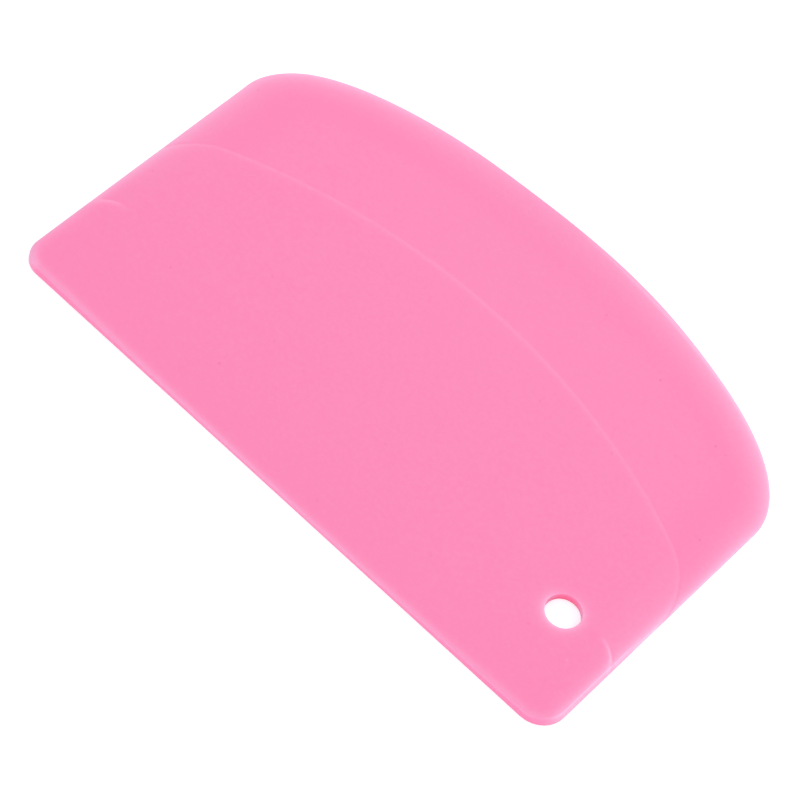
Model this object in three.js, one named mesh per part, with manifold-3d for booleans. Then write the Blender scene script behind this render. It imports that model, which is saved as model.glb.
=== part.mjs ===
// A dough scraper: one thin moulded plastic plate, lying flat with its shaped face up.
// Millimetres. +X runs along the straight back edge, +Y towards the curved scraping edge, +Z up.
// The origin is under the middle of the plate, on its flat underside.
import * as THREE from "three";
import { mergeVertices } from "three/addons/utils/BufferGeometryUtils.js";
import Module from "manifold-3d";

// Outline, seen from above.
const WIDTH = 120; // between the two straight sides
const SIDE_LENGTH = 56.7; // from the back edge to where the scraping edge begins to curve
const CURVE_RISE = 24.3; // from there to the crown of the scraping edge, which is half an ellipse
const BACK_CORNER_RADIUS = 4.5;

// Dished upper face: thick at the sides, thin along the middle line.
const END_THICKNESS = 2;
const MIDDLE_THICKNESS = 0.75;

// Grip: the strip along the back edge that keeps its full thickness, with a rounded shoulder at each end.
const GRIP_DEPTH = 20.4; // from the back edge to the front of the shoulders
const SHOULDER_RADIUS = 6;
const GRIP_EDGE_ROUND = 0.6; // the round on the upper edge at the ends of the grip

// Side bevels: the strips in front of the shoulders, where the plate thins towards its sides.
const BEVEL_WIDTH = 5.7;
const BEVEL_EDGE_THICKNESS = 1.5;

// Blade: the lower zone in front of a shallow curved step.
const STEP_DISTANCE = 55.4; // from the back edge to the crown of the step
const STEP_RADIUS = 113; // of the long arc of the step
const STEP_CORNER_RADIUS = 16; // where the step turns back towards the sides
const STEP_OVERRUN = 0.5; // how far outside the plate those corners would end
const STEP_HEIGHT = 0.2;
const BLADE_EDGE_THICKNESS = 0.4; // at the crown of the scraping edge

// Hang hole in the right back corner.
const HOLE_DIAMETER = 6.4;
const HOLE_FROM_SIDE = 12.3; // centre to the right side
const HOLE_FROM_BACK = 19.2; // centre to the back edge

// How many flats stand for each curve.
const CURVE_STEPS = 64;
const CORNER_STEPS = 10;
const DISH_STEPS = 24;
const STEP_STEPS = 40;
const HOLE_STEPS = 48;
const ROUND_STEPS = 3;

// Cutting shapes reach this far past what they cut.
const OVERREACH = 5;

const HALF = WIDTH / 2;
const DEPTH = SIDE_LENGTH + CURVE_RISE;
const BACK = -DEPTH / 2;
const FRONT = DEPTH / 2;
const QUARTER = Math.PI / 2;

const wasm = await Module();
wasm.setup();

// Turns a closed three.js geometry into a solid that can be joined and cut.
function solid(geometry) {
  const bare = geometry.clone();
  bare.deleteAttribute("normal");
  bare.deleteAttribute("uv");
  const merged = mergeVertices(bare, 1e-4);
  const vertProperties = merged.attributes.position.array;
  const triVerts = new Uint32Array(merged.index.array);
  return new wasm.Manifold(new wasm.Mesh({ numProp: 3, vertProperties, triVerts }));
}

// Turns a finished solid back into a three.js geometry.
function geometryOf(body) {
  const mesh = body.getMesh();
  const geometry = new THREE.BufferGeometry();
  geometry.setAttribute("position", new THREE.BufferAttribute(mesh.vertProperties, 3));
  geometry.setIndex(new THREE.BufferAttribute(mesh.triVerts, 1));
  geometry.computeVertexNormals();
  return geometry;
}

// Points along part of a circle, from one angle to another. An angle of zero points along +X.
function arc(x, y, radius, from, to, steps) {
  return new THREE.EllipseCurve(x, y, radius, radius, from, to, to < from).getPoints(steps);
}

function point(x, y) {
  return new THREE.Vector2(x, y);
}

// A prism over a flat outline, standing on z = 0 and taller than the plate.
function prism(points) {
  const depth = END_THICKNESS + OVERREACH;
  return new THREE.ExtrudeGeometry(new THREE.Shape(points), { depth, bevelEnabled: false });
}

// The D-shaped outline: bowed front, straight sides, rounded corners and a straight back.
function plateOutline() {
  const inset = HALF - BACK_CORNER_RADIUS;
  const corner = BACK + BACK_CORNER_RADIUS;
  const front = new THREE.EllipseCurve(0, BACK + SIDE_LENGTH, HALF, CURVE_RISE, 0, Math.PI);
  return new THREE.Shape([
    ...front.getPoints(CURVE_STEPS),
    ...arc(-inset, corner, BACK_CORNER_RADIUS, 2 * QUARTER, 3 * QUARTER, CORNER_STEPS),
    ...arc(inset, corner, BACK_CORNER_RADIUS, 3 * QUARTER, 4 * QUARTER, CORNER_STEPS),
  ]);
}

// The plate before its upper face is shaped. The round on its lower edge lies below zero and is cut away.
function blank() {
  const geometry = new THREE.ExtrudeGeometry(plateOutline(), {
    depth: END_THICKNESS,
    bevelThickness: GRIP_EDGE_ROUND,
    bevelSize: GRIP_EDGE_ROUND,
    bevelOffset: -GRIP_EDGE_ROUND,
    bevelSegments: ROUND_STEPS,
  });
  geometry.translate(0, 0, -GRIP_EDGE_ROUND);
  const ground = new THREE.BoxGeometry(WIDTH + 2 * OVERREACH, DEPTH + 2 * OVERREACH, OVERREACH);
  ground.translate(0, 0, -OVERREACH / 2);
  return solid(geometry).subtract(solid(ground));
}

// The dish is a shallow arc across the width, from END_THICKNESS at the sides down to MIDDLE_THICKNESS.
const DISH_SAG = END_THICKNESS - MIDDLE_THICKNESS;
const DISH_RADIUS = (HALF ** 2 + DISH_SAG ** 2) / (2 * DISH_SAG);
const DISH_CENTRE = MIDDLE_THICKNESS + DISH_RADIUS;

// The space above the dish, as a bar along Y.
function dishCutter() {
  const reach = HALF + OVERREACH;
  const top = END_THICKNESS + OVERREACH;
  const depth = DEPTH + 2 * OVERREACH;
  const spread = Math.asin(reach / DISH_RADIUS);
  const floor = arc(0, DISH_CENTRE, DISH_RADIUS, 3 * QUARTER - spread, 3 * QUARTER + spread, DISH_STEPS);
  const section = new THREE.Shape([...floor, point(reach, top), point(-reach, top)]);
  const geometry = new THREE.ExtrudeGeometry(section, { depth, bevelEnabled: false });
  geometry.rotateX(QUARTER);
  geometry.translate(0, depth / 2, 0);
  return geometry;
}

// The space above one side bevel: a prism in front of the grip's shoulder, tilted down about the crease.
function bevelCutter(side) {
  const crease = HALF - BEVEL_WIDTH;
  const creaseHeight = DISH_CENTRE - Math.sqrt(DISH_RADIUS ** 2 - crease ** 2);
  const shoulder = BACK + GRIP_DEPTH - SHOULDER_RADIUS;
  const inner = -side * OVERREACH;
  const outer = side * (BEVEL_WIDTH + SHOULDER_RADIUS + OVERREACH);
  const geometry = prism([
    point(inner, FRONT + OVERREACH),
    point(inner, BACK + GRIP_DEPTH),
    ...arc(0, shoulder, SHOULDER_RADIUS, QUARTER, QUARTER - side * QUARTER, CORNER_STEPS),
    point(outer, shoulder),
    point(outer, FRONT + OVERREACH),
  ]);
  geometry.rotateY(side * Math.atan((creaseHeight - BEVEL_EDGE_THICKNESS) / BEVEL_WIDTH));
  geometry.translate(side * crease, 0, creaseHeight);
  return geometry;
}

// Everything above the shaped upper face. The blade uses the same face again, lowered and tilted forward.
function upperSpace(placing) {
  return [dishCutter(), bevelCutter(1), bevelCutter(-1)]
    .map((geometry) => solid(geometry.applyMatrix4(placing)))
    .reduce((sum, part) => sum.add(part));
}

// The zone in front of the step: a long arc that turns back through two corners to the sides.
function bladeZone() {
  const arcCentre = BACK + STEP_DISTANCE - STEP_RADIUS;
  const cornerX = HALF + STEP_OVERRUN - STEP_CORNER_RADIUS;
  const cornerY = arcCentre + Math.sqrt((STEP_RADIUS - STEP_CORNER_RADIUS) ** 2 - cornerX ** 2);
  const meet = Math.atan2(cornerY - arcCentre, cornerX);
  const reach = HALF + STEP_OVERRUN + OVERREACH;
  return prism([
    point(reach, FRONT + OVERREACH),
    point(-reach, FRONT + OVERREACH),
    point(-reach, cornerY),
    ...arc(-cornerX, cornerY, STEP_CORNER_RADIUS, Math.PI, Math.PI - meet, CORNER_STEPS),
    ...arc(0, arcCentre, STEP_RADIUS, Math.PI - meet, meet, STEP_STEPS).slice(1, -1),
    ...arc(cornerX, cornerY, STEP_CORNER_RADIUS, meet, 0, CORNER_STEPS),
    point(reach, cornerY),
  ]);
}

// The space above the blade.
function bladeCutter() {
  const crown = BACK + STEP_DISTANCE;
  const fall = MIDDLE_THICKNESS - STEP_HEIGHT - BLADE_EDGE_THICKNESS;
  const placing = new THREE.Matrix4()
    .makeTranslation(0, crown, -STEP_HEIGHT)
    .multiply(new THREE.Matrix4().makeRotationX(-Math.atan(fall / (FRONT - crown))))
    .multiply(new THREE.Matrix4().makeTranslation(0, -crown, 0));
  return upperSpace(placing).intersect(solid(bladeZone()));
}

// The round hole, straight through the plate.
function holeCutter() {
  const radius = HOLE_DIAMETER / 2;
  const height = 2 * (END_THICKNESS + OVERREACH);
  const geometry = new THREE.CylinderGeometry(radius, radius, height, HOLE_STEPS);
  geometry.rotateX(QUARTER);
  geometry.translate(HALF - HOLE_FROM_SIDE, BACK + HOLE_FROM_BACK, 0);
  return solid(geometry);
}

const shaped = blank()
  .subtract(upperSpace(new THREE.Matrix4()))
  .subtract(bladeCutter())
  .subtract(holeCutter());

const pink = new THREE.MeshStandardMaterial({ color: "#fe8fbd", roughness: 0.42, metalness: 0 });
const moulding = new THREE.Mesh(geometryOf(shaped), pink);
moulding.name = "scraper_moulding";

const scraper = new THREE.Group();
scraper.name = "dough_scraper";
scraper.add(moulding);

export default scraper;
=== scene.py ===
# %% [markdown]
# # A moulded dough scraper
# A dough scraper is a palm-sized plate of soft plastic with one straight edge and one bowed edge.
# It comes out of its mould in one shot, so it has a single piece and nothing on it moves.
# The plain solid is loaded first: it fixes the size and the place of everything that follows.

# %% Load the plain solid
import math

import bmesh
import bpy
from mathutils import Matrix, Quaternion, Vector


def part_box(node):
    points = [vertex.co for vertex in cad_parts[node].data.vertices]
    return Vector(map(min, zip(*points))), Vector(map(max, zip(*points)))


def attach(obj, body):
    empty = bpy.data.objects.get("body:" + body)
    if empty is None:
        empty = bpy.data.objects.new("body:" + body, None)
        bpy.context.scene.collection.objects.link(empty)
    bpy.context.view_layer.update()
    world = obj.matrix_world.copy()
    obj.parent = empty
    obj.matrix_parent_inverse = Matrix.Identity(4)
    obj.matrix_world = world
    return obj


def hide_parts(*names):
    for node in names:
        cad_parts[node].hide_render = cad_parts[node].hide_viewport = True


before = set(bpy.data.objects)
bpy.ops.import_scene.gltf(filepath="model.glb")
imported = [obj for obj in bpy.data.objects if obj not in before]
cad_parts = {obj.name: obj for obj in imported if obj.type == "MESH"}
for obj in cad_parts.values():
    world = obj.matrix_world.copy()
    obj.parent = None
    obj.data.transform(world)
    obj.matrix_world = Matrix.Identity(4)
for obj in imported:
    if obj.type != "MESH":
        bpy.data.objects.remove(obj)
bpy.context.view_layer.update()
MM = 0.001
low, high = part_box("scraper_moulding")
print("solid, mm:", [round(size / MM, 2) for size in high - low])

# %% [markdown]
# ## The outline
# Seen from above the plate is a D: a straight back, two straight sides with small back corners, and
# half an ellipse for the scraping edge. The drawing is done in millimetres and scaled down once, at the
# end, because a plate thinner than a coin is easier to think about that way. Each part of the outline
# also has to be known a little way in from the edge, where the rounded rim will begin.

# %% Outline sizes and helpers
HALF = high.x / MM
BACK = low.y / MM
FRONT = high.y / MM
CURVE_RISE = 24.3
CURVE_START = FRONT - CURVE_RISE
LEFT_CORNER = 4.1
RIGHT_CORNER = 5.2
HALVINGS = 48


def ellipse_normal(turn):
    """Outward direction of the scraping edge at an angle of its ellipse."""
    return Vector((CURVE_RISE * math.cos(turn), HALF * math.sin(turn), 0)).normalized()


def front_turn(x, inset):
    """Angle on the ellipse where the edge, moved in by inset, crosses x."""
    near, far = 0.0, math.pi
    for _ in range(HALVINGS):
        turn = (near + far) / 2
        if HALF * math.cos(turn) - inset * ellipse_normal(turn).x > x:
            near = turn
        else:
            far = turn
    return (near + far) / 2


def front_line(x, inset):
    """How far up the plate the scraping edge, moved in by inset, lies at x."""
    turn = front_turn(x, inset)
    return CURVE_START + CURVE_RISE * math.sin(turn) - inset * ellipse_normal(turn).y


def corner_radius(x):
    return RIGHT_CORNER if x > 0 else LEFT_CORNER


def back_line(x, inset):
    """How far up the plate the back edge, moved in by inset, lies at x."""
    radius = corner_radius(x)
    past = max(0.0, abs(x) - (HALF - radius))
    return BACK + radius - math.sqrt(max(0.0, (radius - inset) ** 2 - past ** 2))


print("outline, mm:", round(2 * HALF, 1), "by", round(FRONT - BACK, 1))

# %% [markdown]
# ## The thickness
# The underside is flat and all the shape is on top. The face is dished across its width, so the ends
# are about 2 mm thick and the middle under 1 mm. Along the back a grip strip keeps the full thickness,
# and its rounded shoulders show where the side bevels begin. A long bowed step drops to the blade. It
# lies a hair to the left of the middle, and its rounded corners run out over the sides. These could be
# cut with booleans, but a formula for the height at any point keeps every ramp soft.

# %% Thickness at any point of the plate
END_THICKNESS = 2.0
MIDDLE_THICKNESS = 0.75
BEVEL_WIDTH = 5.7
BEVEL_EDGE_THICKNESS = 1.5
CREASE = HALF - BEVEL_WIDTH
GRIP_DEPTH = 20.7
SHOULDER_RADIUS = 6.0
SHOULDER_UNEVEN = 0.12
SHOULDER_CENTRE = BACK + GRIP_DEPTH - SHOULDER_RADIUS
SHOULDER_EASE = 1.6
STEP_DISTANCE = 55.55
STEP_CROWN = BACK + STEP_DISTANCE
STEP_RADIUS = 116.5
STEP_CENTRE = STEP_CROWN - STEP_RADIUS
STEP_CORNER = 15.0
STEP_OUT = 0.2
STEP_CORNER_X = HALF + STEP_OUT - STEP_CORNER
STEP_CORNER_Y = STEP_CENTRE + math.sqrt((STEP_RADIUS - STEP_CORNER) ** 2 - STEP_CORNER_X ** 2)
STEP_MEET_X = STEP_CORNER_X * STEP_RADIUS / (STEP_RADIUS - STEP_CORNER)
STEP_HEIGHT = 0.11
STEP_EASE = 1.5
STEP_RUN_OUT = 0.3
STEP_SHIFT = -0.3
BLADE_EDGE_THICKNESS = 0.4
BLADE_SLOPE = (MIDDLE_THICKNESS - STEP_HEIGHT - BLADE_EDGE_THICKNESS) / (FRONT - STEP_CROWN)


def ease(distance, width):
    """0 behind a line, rising faster and faster up to it over that width, and 1 in front of it."""
    return min(1.0, max(0.0, distance / width + 1)) ** 2


def dish(x):
    """Height of the face before anything thins it."""
    return MIDDLE_THICKNESS + (END_THICKNESS - MIDDLE_THICKNESS) * (x / HALF) ** 2


def bevelled(x):
    """Height of the face where the side bevels thin it."""
    past = max(0.0, abs(x) - CREASE)
    fall = (dish(CREASE) - BEVEL_EDGE_THICKNESS) / (HALF - CREASE)
    return dish(CREASE) - fall * past if past else dish(x)


def shoulder_radius(x):
    """The left shoulder is a little fuller than the right one."""
    return SHOULDER_RADIUS - SHOULDER_UNEVEN * x / HALF


def past_shoulder(x, y):
    """How far a point lies in front of the grip's shoulders."""
    return math.hypot(max(0.0, abs(x) - CREASE), max(0.0, y - SHOULDER_CENTRE)) - shoulder_radius(x)


def past_step(x, y):
    """How far a point lies in front of the step, which runs out over the sides of the plate."""
    off = abs(x - STEP_SHIFT)
    if off < STEP_MEET_X:
        return math.hypot(off, y - STEP_CENTRE) - STEP_RADIUS
    ahead = y - STEP_CORNER_Y
    past_corner = math.hypot(off - STEP_CORNER_X, max(0.0, ahead)) - STEP_CORNER
    return past_corner + STEP_RUN_OUT * min(0.0, ahead)


def thickness(x, y):
    """Height of the face over the flat underside."""
    grip = dish(x)
    body = grip + (bevelled(x) - grip) * ease(past_shoulder(x, y), SHOULDER_EASE)
    past = past_step(x, y)
    return body - (STEP_HEIGHT + BLADE_SLOPE * max(0.0, past)) * ease(past, STEP_EASE)


for name, x, y in (("grip end", 58, BACK + 8), ("middle", 0, 0), ("blade crown", 0, FRONT)):
    print(name, "thickness, mm:", round(thickness(x, y), 2))

# %% [markdown]
# ## The face as a grid
# A flat grid is made with one operator and then moved so that its rows follow the lines of the plate:
# the back edge, the front of the grip, the step and the scraping edge. Rows crowd together where the
# surface bends, so a thin step is drawn cleanly with few faces. The grid stops short of the outline by
# the width of the rim, which is added afterwards.

# %% Columns and rows of the grid
RIM = 1.2
SIDE_COLUMNS = 26
MIDDLE_COLUMNS = 72
GRIP_ROWS, BODY_ROWS, BLADE_ROWS = 22, 36, 26
SHOULDER_CUTS = (-2.0, -1.6, -1.2, -0.9, -0.6, -0.4, -0.2, -0.06, 0.0, 0.06, 0.3, 0.9)
STEP_CUTS = (-1.6, -1.2, -0.9, -0.6, -0.4, -0.2, -0.06, 0.0, 0.06, 0.3, 0.9)


def spread(start, end, count):
    """Evenly spaced values from start up to, but not including, end."""
    return [start + (end - start) * i / count for i in range(count)]


side = [
    CREASE + (HALF - RIM - CREASE) * math.sin(math.pi / 2 * i / SIDE_COLUMNS)
    for i in range(1, SIDE_COLUMNS + 1)
]
middle = spread(-CREASE, CREASE, 2 * MIDDLE_COLUMNS) + [CREASE]
columns = [-x for x in reversed(side)] + middle + side


def rows(x):
    """Distances up the plate where one column of the grid has its points."""
    back, front = back_line(x, RIM), front_line(x, RIM)
    past = max(0.0, abs(x) - CREASE)
    grip = SHOULDER_CENTRE + math.sqrt(shoulder_radius(x) ** 2 - past ** 2)
    off = abs(x - STEP_SHIFT)
    if off < STEP_MEET_X:
        step = STEP_CENTRE + math.sqrt(STEP_RADIUS ** 2 - off ** 2)
    else:
        step = STEP_CORNER_Y + math.sqrt(STEP_CORNER ** 2 - (off - STEP_CORNER_X) ** 2)
    return (
        spread(back, grip + SHOULDER_CUTS[0], GRIP_ROWS)
        + [grip + cut for cut in SHOULDER_CUTS]
        + spread(grip + SHOULDER_CUTS[-1], step + STEP_CUTS[0], BODY_ROWS)[1:]
        + [step + cut for cut in STEP_CUTS]
        + spread(step + STEP_CUTS[-1], front, BLADE_ROWS)[1:]
        + [front]
    )


lattice = [rows(x) for x in columns]
across, along = len(columns) - 1, len(lattice[0]) - 1
plate = bmesh.new()
bmesh.ops.create_grid(plate, x_segments=across, y_segments=along, size=1)
grid_spot = {}
for vert in plate.verts:
    column = round((vert.co.x + 1) / 2 * across)
    row = round((vert.co.y + 1) / 2 * along)
    vert.co = (columns[column], lattice[column][row], 0)
    grid_spot[vert] = column, row
print("grid:", across, "by", along, "faces")

# %% [markdown]
# ## The hang hole
# A round hole near the right back corner lets the scraper hang on a hook. A boolean would leave ragged
# faces round it, so a square of the grid is deleted and its edge is extruded inwards. Each point keeps
# its direction from the hole's centre while the ring turns from a square into a circle.

# %% Open the hole
HOLE_FROM_SIDE, HOLE_FROM_BACK = 12.5, 19.27
HOLE = Vector((HALF - HOLE_FROM_SIDE, BACK + HOLE_FROM_BACK, 0))
HOLE_RADIUS = 3.22
HOLE_PATCH = 6.2
OUTER_RING = 1.6
HOLE_RINGS = (HOLE_RADIUS + OUTER_RING, HOLE_RADIUS + RIM)
hole_column = min(range(len(columns)), key=lambda i: abs(columns[i] - HOLE.x))
patch_columns = {i for i, x in enumerate(columns) if abs(x - HOLE.x) < HOLE_PATCH}
patch_rows = {i for i, y in enumerate(lattice[hole_column]) if abs(y - HOLE.y) < HOLE_PATCH}


def in_patch(face):
    spots = [grid_spot[vert] for vert in face.verts]
    return all(column in patch_columns and row in patch_rows for column, row in spots)


def extrude_loop(edges, place):
    """Extrudes an open loop of edges and puts each new point where place says."""
    made = bmesh.ops.extrude_edge_only(plate, edges=edges)["geom"]
    for item in made:
        if isinstance(item, bmesh.types.BMVert):
            item.co = place(item)
    return [item for item in made if isinstance(item, bmesh.types.BMEdge)]


outer_edges = [edge for edge in plate.edges if edge.is_boundary]
bmesh.ops.delete(plate, geom=[face for face in plate.faces if in_patch(face)], context="FACES")
outer_set = set(outer_edges)
hole_edges = [edge for edge in plate.edges if edge.is_boundary and edge not in outer_set]
for radius in HOLE_RINGS:
    hole_edges = extrude_loop(hole_edges, lambda vert: HOLE + (vert.co - HOLE).normalized() * radius)
print("hole:", len(hole_edges), "sides")

# %% [markdown]
# ## Lift the face
# So far the grid is flat. Each of its points is lifted to the plate's thickness at that place.

# %% Heights
for vert in plate.verts:
    vert.co.z = thickness(vert.co.x, vert.co.y)
print("thinnest, mm:", round(min(vert.co.z for vert in plate.verts), 2))

# %% [markdown]
# ## The rims
# The open edges of the face are carried over a quarter round, down the wall and under a tiny round at
# the foot. On the real plate the upper round is generous at the thick ends of the grip and hardly there
# at the thin scraping edge, so its radius is a share of the local thickness. Each point of the loop
# remembers where its rim began and which way is out, and every extruded copy of it inherits both. The
# bore of the hole leans by a hair, so its foot is shifted.

# %% Round the outline and the hole
ROUND_SHARE = 0.3
BACK_ROUND_SHARE = 0.45
END_ROUND_SHARE = 0.5
HOLE_ROUND_SHARE = 0.05
ROUND_TURNS = 8
FOOT_ROUND = 0.1
FOOT_TURNS = 3
BORE_SHIFT = Vector((0.13, -0.045, 0))
rim_start = plate.verts.layers.float_vector.new("rim_start")
rim_way = plate.verts.layers.float_vector.new("rim_way")


def outward(point):
    """Direction straight out of the plate for a point where the rim begins."""
    if point.y >= CURVE_START:
        return ellipse_normal(front_turn(point.x, RIM))
    radius = corner_radius(point.x)
    past = Vector((abs(point.x) - (HALF - radius), point.y - (BACK + radius), 0))
    if past.x > 0 and past.y < 0:
        return Vector((math.copysign(past.x, point.x), past.y, 0)).normalized()
    if past.x > 0:
        return Vector((math.copysign(1.0, point.x), 0, 0))
    return Vector((0, -1, 0))


def into_hole(point):
    return (HOLE - Vector((point.x, point.y, 0))).normalized()


def outer_round(edge, way):
    """Radius of the upper round at a point of the outline, fuller where the grip meets the sides."""
    share = ROUND_SHARE + (BACK_ROUND_SHARE - ROUND_SHARE) * max(0.0, -way.y)
    if abs(edge.x) > CREASE:
        on_grip = 1 - ease(past_shoulder(edge.x, edge.y), SHOULDER_EASE)
        share += (END_ROUND_SHARE - ROUND_SHARE) * on_grip * way.x ** 2
    return share * thickness(edge.x, edge.y)


def hole_round(edge, way):
    return HOLE_ROUND_SHARE * thickness(edge.x, edge.y)


def add_rim(edges, facing, round_radius, foot_shift):
    """Extrudes a rim, turn by turn, and gives back the loop it ends on."""
    for vert in {vert for edge in edges for vert in edge.verts}:
        vert[rim_start] = vert.co
        vert[rim_way] = facing(vert.co)
    for turn in range(ROUND_TURNS + 1):
        angle = math.pi / 2 * turn / ROUND_TURNS

        def over(vert):
            start, way = vert[rim_start], vert[rim_way]
            radius = round_radius(start + way * RIM, way)
            spot = start + way * (RIM - radius * (1 - math.sin(angle)))
            spot.z = thickness(spot.x, spot.y) - radius * (1 - math.cos(angle))
            return spot

        edges = extrude_loop(edges, over)
    for turn in range(FOOT_TURNS + 1):
        angle = math.pi / 2 * turn / FOOT_TURNS

        def under(vert):
            spot = vert[rim_start] + vert[rim_way] * (RIM - FOOT_ROUND * (1 - math.cos(angle)))
            spot.z = FOOT_ROUND * (1 - math.sin(angle))
            return spot + foot_shift

        edges = extrude_loop(edges, under)
    return edges


outer_foot = add_rim(outer_edges, outward, outer_round, Vector())
hole_foot = add_rim(hole_edges, into_hole, hole_round, BORE_SHIFT)
plate.verts.layers.float_vector.remove(plate.verts.layers.float_vector["rim_start"])
plate.verts.layers.float_vector.remove(plate.verts.layers.float_vector["rim_way"])
for face in plate.faces:
    face.smooth = True
print("rims:", len(outer_foot), "and", len(hole_foot), "sides")

# %% [markdown]
# ## Notes for the finish
# The finish paints a highlight along the step and the shoulders and a line of shade at their feet, and
# paints the side bevels paler, so it has to know where these run. Each point keeps its distance from the
# step and the shoulders, and a third number for how much it belongs to a side bevel. Kept as attributes,
# they follow the surface exactly and bend with it.

# %% Distances kept with the points
BEVEL_BLUR = 2.0
step_note = plate.verts.layers.float.new("from_step")
shoulder_note = plate.verts.layers.float.new("from_shoulder")
bevel_note = plate.verts.layers.float.new("bevel")
for vert in plate.verts:
    x, y = vert.co.x, vert.co.y
    vert[step_note], vert[shoulder_note] = past_step(x, y), past_shoulder(x, y)
    across_bevel = (1 + math.tanh((abs(x) - CREASE) / BEVEL_BLUR)) / 2
    behind_step = 1 - ease(past_step(x, y), STEP_EASE)
    vert[bevel_note] = across_bevel * ease(past_shoulder(x, y), SHOULDER_EASE) * behind_step
print("notes:", [layer.name for layer in plate.verts.layers.float.values()])

# %% [markdown]
# ## A trace of a wave
# The blade is thin enough to set a little out of true as it cools. Its edge stands forward by about a
# quarter of a millimetre in two places and back by as much between them. Smooth swellings that fade
# towards the step do this better than moving points by hand. Each has an angle round the edge, a width
# in degrees and a height in millimetres.

# %% Wave in the scraping edge
SWELLINGS = ((150, 20, 0.25), (102, 11, -0.26), (74, 14, 0.32), (40, 12, 0.08))
SWELLING_DEPTH = 15.0
for vert in plate.verts:
    share = min(1.0, max(0.0, past_step(vert.co.x, vert.co.y) / SWELLING_DEPTH)) ** 2
    turn = math.atan2((vert.co.y - CURVE_START) / CURVE_RISE, vert.co.x / HALF)
    for centre, width, height in SWELLINGS:
        swell = height * math.exp(-(((math.degrees(turn) - centre) / width) ** 2))
        vert.co += ellipse_normal(turn) * swell * share
print("front of the blade, mm:", round(max(vert.co.y for vert in plate.verts), 2))

# %% [markdown]
# ## The underside
# The plate lies on a flat face. One fill between the two feet closes it, hole and all, and it stays flat
# shaded so the small round at the foot doesn't tint it. The finished drawing is scaled from millimetres
# to metres and becomes the one piece of the model, standing in for the plain solid.

# %% Close the plate and hand it over
bmesh.ops.triangle_fill(plate, edges=outer_foot + hole_foot, use_beauty=True, normal=(0, 0, -1))
bmesh.ops.recalc_face_normals(plate, faces=plate.faces)
bmesh.ops.scale(plate, vec=(MM, MM, MM), verts=plate.verts)
open_edges = sum(not edge.is_manifold for edge in plate.edges)
scraper_mesh = bpy.data.meshes.new("scraper")
plate.to_mesh(scraper_mesh)
plate.free()
scraper = bpy.data.objects.new("scraper", scraper_mesh)
bpy.context.scene.collection.objects.link(scraper)
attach(scraper, "root")
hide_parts("scraper_moulding")
scraper_mesh.calc_loop_triangles()
print("scraper:", len(scraper_mesh.loop_triangles), "triangles,", open_edges, "open edges")

# %% [markdown]
# ## Sums in a shader
# A finish is a sum of small effects, and drawing each sum as boxes and wires hides what it says. This
# helper wraps one socket, so that plain arithmetic on it adds the Math nodes, and one method adds any
# other node.

# %% Signals


class Signal:
    """The value at one socket of a node tree, usable in sums like a number."""

    def __init__(self, socket):
        self.socket = socket

    def node(self, kind, settings=None, sockets=None, output=0):
        """Adds a node, sets it up, feeds its sockets and gives back one of its outputs."""
        tree = self.socket.id_data
        made = tree.nodes.new(kind)
        for name, value in (settings or {}).items():
            setattr(made, name, value)
        for name, value in (sockets or {}).items():
            if isinstance(value, Signal):
                tree.links.new(value.socket, made.inputs[name])
            else:
                made.inputs[name].default_value = value
        return Signal(made.outputs[output])

    def beside(self, output):
        """Another output of the same node."""
        return Signal(self.socket.node.outputs[output])

    def feed(self, socket):
        self.socket.id_data.links.new(self.socket, socket)

    def math(self, operation, *values):
        return self.node("ShaderNodeMath", {"operation": operation}, dict(enumerate(values)))

    def __add__(self, other):
        return self.math("ADD", self, other)

    def __sub__(self, other):
        return self.math("SUBTRACT", self, other)

    def __mul__(self, other):
        return self.math("MULTIPLY", self, other)

    def __truediv__(self, other):
        return self.math("DIVIDE", self, other)

    def __rsub__(self, other):
        return self.math("SUBTRACT", other, self)

    def __rtruediv__(self, other):
        return self.math("DIVIDE", other, self)

    __radd__ = __add__
    __rmul__ = __mul__

    def fade(self, reach):
        """1 where this distance is zero, falling away over a reach."""
        return self.math("EXPONENT", 0 - self / reach)

    def line(self, centre, width, shift=0.0):
        """1 where this distance plus a shift is at the centre, falling away on both sides."""
        off = (self + shift - centre) / width
        return (off * off).fade(1.0)

    def blend(self, first, second):
        """Mixes two colours by this share."""
        return self.node("ShaderNodeMix", {"data_type": "RGBA"}, {0: self, 6: first, 7: second}, 2)


print("signals ready")

# %% [markdown]
# ## How far from an edge
# The finish paints light near the edges: close to an edge the colour is made paler, standing in for lamp
# light that comes in through the thin plastic and off its rounds. For that the finish has to know how far
# each point is from the sides and the bowed front, from the back edge and from the hole. For the ellipse a
# good guess is enough: how far out a point is, divided by how fast that number grows. The places come from
# Object coordinates, so the finish stays put when the plate moves.

# %% Distances to the edges
pink = bpy.data.materials.new("pink plastic")
pink.use_nodes = True
plastic = pink.node_tree.nodes["Principled BSDF"]
place = Signal(pink.node_tree.nodes.new("ShaderNodeTexCoord").outputs["Object"])
along_x = place.node("ShaderNodeSeparateXYZ", sockets={0: place})
x_mm = along_x / MM
y_mm = along_x.beside("Y") / MM
z_mm = along_x.beside("Z") / MM
facing_up = place.node("ShaderNodeSeparateXYZ", sockets={0: place.beside("Normal")}, output="Z")

sideways = x_mm / HALF
forwards = place.math("MAXIMUM", y_mm - CURVE_START, 0.0) / CURVE_RISE
reach_out = place.math("SQRT", sideways * sideways + forwards * forwards)
steep_x, steep_y = sideways / HALF, forwards / CURVE_RISE
steep = place.math("SQRT", steep_x * steep_x + steep_y * steep_y)
bowed_gap = place.math("MAXIMUM", (1 - reach_out) * reach_out / steep, 0.0)
back_gap = place.math("MAXIMUM", y_mm - BACK, 0.0)
from_hole_x, from_hole_y = x_mm - HOLE.x, y_mm - HOLE.y
from_hole = place.math("SQRT", from_hole_x * from_hole_x + from_hole_y * from_hole_y)
hole_gap = place.math("MAXIMUM", from_hole - HOLE_RADIUS, 0.0)
print("distances:", len(pink.node_tree.nodes), "nodes")

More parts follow.
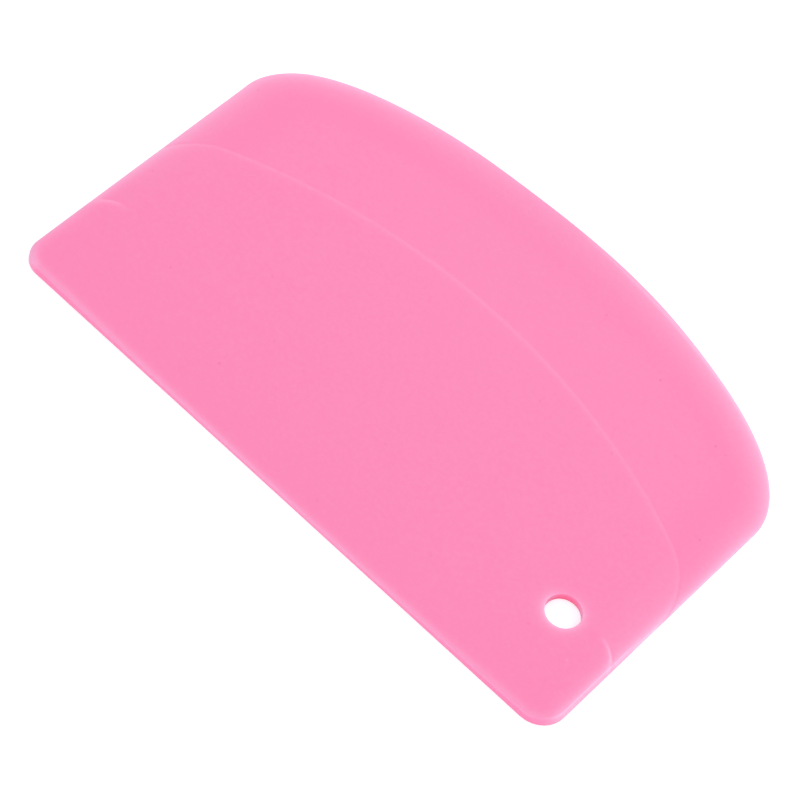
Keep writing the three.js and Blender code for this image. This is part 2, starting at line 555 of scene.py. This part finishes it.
# %% [markdown]
# ## Round the back corners
# At a back corner a point is near two edges at once. Both distances are cut back there so that they
# follow the rounding, and each edge's glow hands over to the other's as the outline turns.

# %% Distances in the corners
TINY = 0.01
CORNER_FALL, CORNER_FALL_LEAN = 3.15, 2.8

corner = (RIGHT_CORNER + LEFT_CORNER) / 2 + (RIGHT_CORNER - LEFT_CORNER) / 2 * sideways
side_in = place.math("MAXIMUM", corner - bowed_gap, 0.0)
back_in = place.math("MAXIMUM", corner - back_gap, 0.0)
corner_in = place.math("SQRT", side_in * side_in + back_in * back_in)
bowed_gap = bowed_gap + side_in - corner_in
back_gap = back_gap + back_in - corner_in
corner_fall = CORNER_FALL + CORNER_FALL_LEAN * sideways
bowed_turn = place.math("POWER", (side_in + TINY) / (corner_in + TINY), corner_fall)
back_turn = (back_in + TINY) / (corner_in + TINY)
print("with corners:", len(pink.node_tree.nodes), "nodes")

# %% [markdown]
# ## Painted glow of the sides and the front
# A painted glow is strongest right at its edge and fades inwards. The right side is painted brightest,
# because most light comes from there, and the thin front's painted glow reaches furthest in. The strengths
# and reaches of the right side, the left side and the middle of the front are blended along the edge.

# %% Strength and reach along the bowed edge
RIGHT_GLOW, RIGHT_GLOW_AHEAD = 0.75, 0.56
LEFT_GLOW, LEFT_GLOW_AHEAD = 0.67, 0.5
MIDDLE_GLOW, MIDDLE_REACH = 0.19, 2.4
RIGHT_REACH, RIGHT_REACH_AHEAD = 0.9, 2.0
LEFT_REACH, LEFT_REACH_AHEAD = 0.65, 1.5
GLOW_CHANGE, REACH_CHANGE = 20.0, 45.0


def past_grip(length):
    """0 on the grip, rising to 1 over that length in front of it."""
    grip_front = SHOULDER_CENTRE + SHOULDER_RADIUS
    limits = {"Value": y_mm, "From Min": grip_front, "From Max": grip_front + length}
    return place.node("ShaderNodeMapRange", sockets=limits)


ahead, far_ahead = past_grip(GLOW_CHANGE), past_grip(REACH_CHANGE)
front_share = 1 - sideways * sideways / (reach_out * reach_out)
middle_share = front_share * front_share * front_share
right_share = (1 - middle_share) * (0.5 + 0.5 * sideways)
left_share = (1 - middle_share) * (0.5 - 0.5 * sideways)
bowed_glow = (
    (RIGHT_GLOW + (RIGHT_GLOW_AHEAD - RIGHT_GLOW) * ahead) * right_share
    + (LEFT_GLOW + (LEFT_GLOW_AHEAD - LEFT_GLOW) * ahead) * left_share
    + MIDDLE_GLOW * middle_share
)
bowed_reach = (
    (RIGHT_REACH + (RIGHT_REACH_AHEAD - RIGHT_REACH) * far_ahead * far_ahead * far_ahead) * right_share
    + (LEFT_REACH + (LEFT_REACH_AHEAD - LEFT_REACH) * ahead) * left_share
    + MIDDLE_REACH * middle_share
)
print("bowed edge:", len(pink.node_tree.nodes), "nodes")

# %% [markdown]
# ## Painted light of the back, the walls and the hole
# Two thin painted highlights run just inside the edge, one along the right end of the grip and one along
# the right half of the front. The walls below the rims see another part of the room than the face does,
# so their painted light differs: the back wall and the ends of the grip are painted duller and the other
# sides brighter. The painted glow of the hole's lip is weakest on its far side, and so is the painted
# light on the wall inside it.

# %% Glow of all the edges
BACK_GLOW, BACK_REACH, BACK_REACH_ENDS = 0.58, 0.45, 0.2
BACK_WALL_LOSS, BACK_WALL_LOSS_ENDS = 0.85, 0.15
BACK_LEAN = 0.055
BOW_LINE, BOW_LINE_WIDTH, BOW_LINE_GLOW = 0.35, 0.4, 0.38
END_WALL_LOSS, SIDE_WALL_GAIN = 0.36, 0.25
HOLE_GLOW, HOLE_REACH = 0.44, 0.65
HOLE_FAR, HOLE_FAR_LOSS = math.radians(112), 0.3
HOLE_NEAR, HOLE_NEAR_GAIN = math.radians(230), 0.15
WALL_DARKEST, WALL_PALE_GLOW = math.radians(122), 0.45
GRIP_LINE, GRIP_LINE_WIDTH, GRIP_LINE_GLOW, GRIP_LINE_END = 0.45, 0.15, 0.26, 5.0
HOLE_WALL_REACH = 0.3


def towards_hole_side(turn):
    """1 on the side of the hole at that angle, falling to 0 a quarter turn away."""
    that_way = math.cos(turn) * from_hole_x + math.sin(turn) * from_hole_y
    return place.math("MAXIMUM", that_way / from_hole, 0.0)


hole_far, hole_near = towards_hole_side(HOLE_FAR), towards_hole_side(HOLE_NEAR)
# Painted glow round the hole's lip, weakest on its far side.
painted_lip_light = HOLE_GLOW - HOLE_FAR_LOSS * hole_far * hole_far * hole_far + HOLE_NEAR_GAIN * hole_near
off_grip = past_grip(GRIP_LINE_END)
# Painted highlight lines along the right end of the grip and the right half of the front.
grip_highlight = bowed_gap.line(GRIP_LINE, GRIP_LINE_WIDTH) * right_share * (1 - off_grip) * bowed_turn
bow_highlight = bowed_gap.line(BOW_LINE, BOW_LINE_WIDTH) * front_share
bow_highlight = bow_highlight * place.math("SQRT", place.math("MAXIMUM", sideways, 0.0))
on_top = facing_up * facing_up
on_wall = 1 - on_top
# Painted shade on the back wall and the grip's ends, painted light on the other walls.
back_wall_shade = (BACK_WALL_LOSS + BACK_WALL_LOSS_ENDS * sideways * sideways) * (1 - on_top * facing_up)
side_wall_light = on_wall * (SIDE_WALL_GAIN * off_grip * (1 - front_share) - END_WALL_LOSS * (1 - off_grip))
wall_turn = towards_hole_side(WALL_DARKEST)
# Painted light: paler colour along every edge, highlight lines and painted shade on the walls.
painted_edge_light = (
    bowed_glow * bowed_gap.fade(bowed_reach) * bowed_turn * (1 + side_wall_light)
    + GRIP_LINE_GLOW * grip_highlight
    + BOW_LINE_GLOW * bow_highlight
    + (BACK_GLOW - BACK_LEAN * sideways) * (1 - back_wall_shade) * back_turn
    * back_gap.fade(BACK_REACH + BACK_REACH_ENDS * sideways * sideways)
    + painted_lip_light * on_top * hole_gap.fade(HOLE_REACH)
    + WALL_PALE_GLOW * (1 - wall_turn) * (1 - facing_up) * hole_gap.fade(HOLE_WALL_REACH)
)
print("glow:", len(pink.node_tree.nodes), "nodes")

# %% [markdown]
# ## Painted highlights on the crests, painted shade at the feet
# The step and the shoulders are soft edges in the face. Along the crest of each runs a thin painted
# highlight, and at its foot a thin line of painted shade. Both are clearest near the sides, where the
# plate is thick. The side bevels are painted a little paler than the rest of the face, standing in for the
# light that falls on them from the side.

# %% Lines along the step and the shoulders
BEVEL_GLOW, BEVEL_LEAN = 0.025, 0.02
CREST, CREST_LEAN, CREST_WIDTH = 0.33, 0.05, 0.28
CREST_GLOW, CREST_GLOW_ENDS, SHOULDER_GLOW = 0.003, 0.06, 0.29
SHOULDER_TURN = (1.0, 4.0)
FOOT, FOOT_WIDTH, FOOT_SHADE_LOSS = 0.25, 0.2, 0.35
SHOULDER_SHARE, SHOULDER_LEAN = 0.63, 0.37


def note(name):
    """A number kept with the points of the mesh."""
    return place.node("ShaderNodeAttribute", {"attribute_name": name}, output="Fac")


from_step, from_shoulder, bevel = note("from_step"), note("from_shoulder"), note("bevel")
lean = CREST_LEAN * sideways
towards_end = sideways * sideways * sideways * sideways
side_limits = {"Value": place.math("ABSOLUTE", x_mm), "From Min": CREASE, "From Max": HALF}
turn_start, turn_end = (SHOULDER_CENTRE + length for length in SHOULDER_TURN)
front_limits = {"Value": y_mm, "From Min": turn_start, "From Max": turn_end}
on_shoulder = place.node("ShaderNodeMapRange", sockets=side_limits)
on_shoulder = on_shoulder * (SHOULDER_SHARE + SHOULDER_LEAN * sideways)
on_shoulder = on_shoulder * place.node("ShaderNodeMapRange", sockets=front_limits)
# Painted highlight along the crests of the step and the shoulders.
crest_highlight = (
    from_step.line(-CREST, CREST_WIDTH, lean) * (CREST_GLOW + CREST_GLOW_ENDS * towards_end)
    + from_shoulder.line(-CREST, CREST_WIDTH) * SHOULDER_GLOW * on_shoulder
)
# Painted shade along the feet of the step and the shoulders.
foot_shade = (
    from_step.line(FOOT, FOOT_WIDTH, lean) * towards_end
    + from_shoulder.line(FOOT, FOOT_WIDTH) * on_shoulder
)
# All the painted light together: edge glow dimmed by the foot shade, crest highlights and paler bevels.
painted_light_and_nick = painted_edge_light * (1 - FOOT_SHADE_LOSS * foot_shade) + crest_highlight + bevel * (BEVEL_GLOW + BEVEL_LEAN * sideways)
print("with crests:", len(pink.node_tree.nodes), "nodes")

# %% [markdown]
# ## Tone
# No moulding is one flat colour. The pigment clouds a little, the satin surface has a fine grain, and
# the blade is a touch deeper some way in from its edge. Painted shade deepens the colour at the feet of
# the step and the shoulders, towards the back edge and on the left half, where less light falls.

# %% Tone
NOISE_DETAIL = 2.0
CLOUD_SCALE, CLOUD_DEPTH = 30.0, 0.3
GRAIN_SCALE, GRAIN_DEPTH = 1400.0, 1.6
MARGIN, MARGIN_WIDTH, MARGIN_DEPTH = 7.5, 3.5, 0.45
BACK_SPREAD, BACK_SHADE_DEPTH, LEFT_SHADE_DEPTH = 8.0, 0.3, 0.15
FOOT_SHADE_DEPTH = 0.3


def noise(scale):
    """A cloudy value round a half."""
    return place.node(
        "ShaderNodeTexNoise", sockets={"Vector": place, "Scale": scale, "Detail": NOISE_DETAIL}
    )


cloud, grain = noise(CLOUD_SCALE), noise(GRAIN_SCALE)
blade_limits = {"Value": from_step, "From Min": -STEP_EASE, "From Max": 0.0}
on_blade = place.node("ShaderNodeMapRange", sockets=blade_limits)
tone_and_shade = 0.5 + CLOUD_DEPTH * (cloud - 0.5) + GRAIN_DEPTH * (grain - 0.5)
# The blade's deeper margin, and painted shade at the feet of the step and the shoulders.
tone_and_shade = tone_and_shade + MARGIN_DEPTH * on_blade * bowed_gap.line(MARGIN, MARGIN_WIDTH) + FOOT_SHADE_DEPTH * foot_shade
# Painted shade towards the back edge and on the left half.
tone_and_shade = tone_and_shade + BACK_SHADE_DEPTH * back_gap.fade(BACK_SPREAD) - LEFT_SHADE_DEPTH * place.math("MINIMUM", sideways, 0.0)
print("tone:", len(pink.node_tree.nodes), "nodes")

# %% [markdown]
# ## Specks
# A few dark specks of dust sit in the plastic. The stronger ones are placed one by one, each with its x
# and y in millimetres and its strength. The faint ones are scattered by a cell texture that keeps only
# some of its cells. One tiny pale nick marks the grip near its right end.

# %% Specks and a nick
SPECK_RADIUS = 0.19
SPECKS = (
    (29.4, 27.0, 0.85), (-23.0, -29.9, 0.7), (44.5, 23.9, 0.72), (54.4, 7.0, 0.62), (-41.6, -22.6, 0.45),
    (14.3, 30.1, 0.5), (46.8, 23.8, 0.33), (46.0, 25.6, 0.33), (41.0, 16.9, 0.35),
)
FAINT_SCALE, FAINT_SIZE, FAINT_RARITY, FAINT_SHARE = 110.0, 0.035, 0.6, 0.18
NICK, NICK_RADIUS, NICK_GLOW = (53.75, -27.85), 0.2, 0.18

speck_cell = place.node(
    "ShaderNodeTexVoronoi", {"voronoi_dimensions": "2D"}, {"Vector": place, "Scale": FAINT_SCALE}
)
speck_luck = place.node("ShaderNodeSeparateColor", sockets={0: speck_cell.beside("Color")})
speck = place.math("LESS_THAN", speck_cell, FAINT_SIZE * speck_luck.beside("Green"))
speck = speck * place.math("GREATER_THAN", speck_luck, FAINT_RARITY) * FAINT_SHARE


def spot(x, y, radius):
    """1 at a spot on the face, falling away over a radius."""
    off_x, off_y = (x_mm - x) / radius, (y_mm - y) / radius
    return (off_x * off_x + off_y * off_y).fade(1.0)


for x, y, share in SPECKS:
    speck = speck + share * spot(x, y, SPECK_RADIUS)
# The nick is real wear; its paleness is added to the painted light so that it takes the same pale pink.
painted_light_and_nick = painted_light_and_nick + NICK_GLOW * spot(*NICK, NICK_RADIUS)
print("with specks:", len(pink.node_tree.nodes), "nodes")

# %% [markdown]
# ## Pink plastic
# The colour is a strong pink, a little lighter or deeper with the tone and the painted shade, that runs to
# a pale lilac pink where light is painted on. The far wall of the hole is painted a deeper red as shade,
# most of all at its foot. The surface is satin: it blurs what it mirrors, and a very shallow grain breaks
# up the rest. A little of the light travels under the surface, as it does in any thin plastic.

# %% Put the finish together
LIGHT_PINK = (0.99, 0.262, 0.501, 1)
DEEP_PINK = (0.99, 0.231, 0.469, 1)
PALE_PINK = (1.0, 0.66, 0.91, 1)
SPECK_BROWN = (0.85, 0.125, 0.32, 1)
HOLE_SHADE_RED = (0.97, 0.145, 0.31, 1)
WALL_SHARE, WALL_TOP_LOSS = 0.9, 0.8
ROUGHNESS, ROUGHNESS_DRIFT = 0.4, 0.08
GRAIN_BUMP, GRAIN_HEIGHT = 0.1, 0.02 * MM
PLASTIC_IOR = 1.49
UNDER_SURFACE_SHARE = 0.15
UNDER_SURFACE_TINT = (1.0, 0.45, 0.6)
UNDER_SURFACE_REACH = 0.8 * MM

wall_height = z_mm / thickness(HOLE.x, HOLE.y)
# Painted shade on the far wall of the hole, deepest at its foot.
hole_wall_shade = (1 - facing_up) * hole_gap.fade(HOLE_WALL_REACH) * wall_turn * wall_turn
hole_wall_shade = hole_wall_shade * WALL_SHARE * (1 - WALL_TOP_LOSS * wall_height * wall_height)
# Paler pink where light is painted on; the nick's paleness rides along.
colour = painted_light_and_nick.blend(tone_and_shade.blend(LIGHT_PINK, DEEP_PINK), PALE_PINK)
colour = speck.blend(hole_wall_shade.blend(colour, HOLE_SHADE_RED), SPECK_BROWN)
colour.feed(plastic.inputs["Base Color"])
(ROUGHNESS + ROUGHNESS_DRIFT * (cloud - 0.5)).feed(plastic.inputs["Roughness"])
bump_sockets = {"Strength": GRAIN_BUMP, "Distance": GRAIN_HEIGHT, "Height": grain}
place.node("ShaderNodeBump", sockets=bump_sockets).feed(plastic.inputs["Normal"])
plastic.inputs["IOR"].default_value = PLASTIC_IOR
plastic.inputs["Subsurface Weight"].default_value = UNDER_SURFACE_SHARE
plastic.inputs["Subsurface Radius"].default_value = UNDER_SURFACE_TINT
plastic.inputs["Subsurface Scale"].default_value = UNDER_SURFACE_REACH
scraper_mesh.materials.append(pink)
print("pink plastic:", len(pink.node_tree.nodes), "nodes")

# %% [markdown]
# ## Floor
# The scraper lies on a white table, which takes its shadow. Only the camera sees the floor lifted to
# white, so the background is clean without more light on the plastic.

# %% White table
FLOOR_SIZE = 3.0
FLOOR_GREY = 0.9
FLOOR_LIFT = 0.42
FLOOR_ROUGHNESS = 0.9
UNDER_PLATE = -0.03 * MM

bpy.ops.mesh.primitive_plane_add(size=FLOOR_SIZE, location=(0, 0, UNDER_PLATE))
floor = bpy.context.object
floor.name = "floor"
table = bpy.data.materials.new("white table")
table.use_nodes = True
table_top = table.node_tree.nodes["Principled BSDF"]
table_top.inputs["Base Color"].default_value = (FLOOR_GREY, FLOOR_GREY, FLOOR_GREY, 1)
table_top.inputs["Roughness"].default_value = FLOOR_ROUGHNESS
table_top.inputs["Specular IOR Level"].default_value = 0
table_top.inputs["Emission Strength"].default_value = 1
seen = Signal(table.node_tree.nodes.new("ShaderNodeLightPath").outputs["Is Camera Ray"])
(seen * FLOOR_LIFT).feed(table_top.inputs["Emission Color"])
floor.data.materials.append(table)
print("floor, m:", round(floor.dimensions.x, 2), "square")

# %% [markdown]
# ## Light and background
# Soft light comes from all round, as in a white tent, with a large lamp in front and smaller ones to the
# right and behind. The camera and the satin's reflections see the sky as plain white, while it lights the
# plate with less than that.

# %% Sky and lamps
SKY = 0.67

world = bpy.data.worlds.new("studio")
bpy.context.scene.world = world
world.use_nodes = True
background = world.node_tree.nodes["Background"]
seen = Signal(world.node_tree.nodes.new("ShaderNodeLightPath").outputs["Is Camera Ray"])
(SKY + (1 - SKY) * (seen + seen.beside("Is Glossy Ray"))).feed(background.inputs["Color"])


def soft_lamp(name, where, width, height, power):
    """A soft lamp, sizes in metres and power in watts, turned to the plate."""
    light = bpy.data.lights.new(name, "AREA")
    light.shape = "RECTANGLE"
    light.size = width
    light.size_y = height
    light.energy = power
    lamp = bpy.data.objects.new(name, light)
    lamp.location = where
    lamp.rotation_euler = (-lamp.location).to_track_quat("-Z", "Y").to_euler()
    bpy.context.scene.collection.objects.link(lamp)


soft_lamp("front softbox", (-0.1, 1.0, 0.5), width=1.6, height=0.5, power=6.6)
soft_lamp("right softbox", (1.0, -0.1, 0.4), width=0.6, height=0.6, power=1.8)
soft_lamp("back fill", (0.06, -0.92, 0.35), width=0.6, height=0.6, power=3.0)
print("lamps:", [light.name for light in bpy.data.lights])

# %% [markdown]
# ## Camera
# The photograph was taken from behind the straight edge, a little to its right and well above the plate,
# with a long lens and the camera turned about its own axis.

# %% Camera
CAMERA_TARGET = Vector((1.811, -10.931, 0)) * MM
CAMERA_DISTANCE = 563.35 * MM
CAMERA_AZIMUTH = math.radians(23.1227)
CAMERA_ELEVATION = math.radians(55.6306)
CAMERA_ROLL = math.radians(22.402)
CAMERA_LENS = 150.2
SENSOR = 36

towards = Vector((
    math.sin(CAMERA_AZIMUTH) * math.cos(CAMERA_ELEVATION),
    -math.cos(CAMERA_AZIMUTH) * math.cos(CAMERA_ELEVATION),
    math.sin(CAMERA_ELEVATION),
))
camera_data = bpy.data.cameras.new("camera")
camera_data.lens = CAMERA_LENS
camera_data.sensor_width = SENSOR
camera = bpy.data.objects.new("camera", camera_data)
camera.location = CAMERA_TARGET + towards * CAMERA_DISTANCE
facing = (-towards).to_track_quat("-Z", "Y") @ Quaternion((0, 0, 1), CAMERA_ROLL)
camera.rotation_euler = facing.to_euler()
bpy.context.scene.collection.objects.link(camera)
bpy.context.scene.camera = camera
bpy.context.scene.view_settings.view_transform = "Standard"
print("camera, m:", [round(value, 4) for value in camera.location])
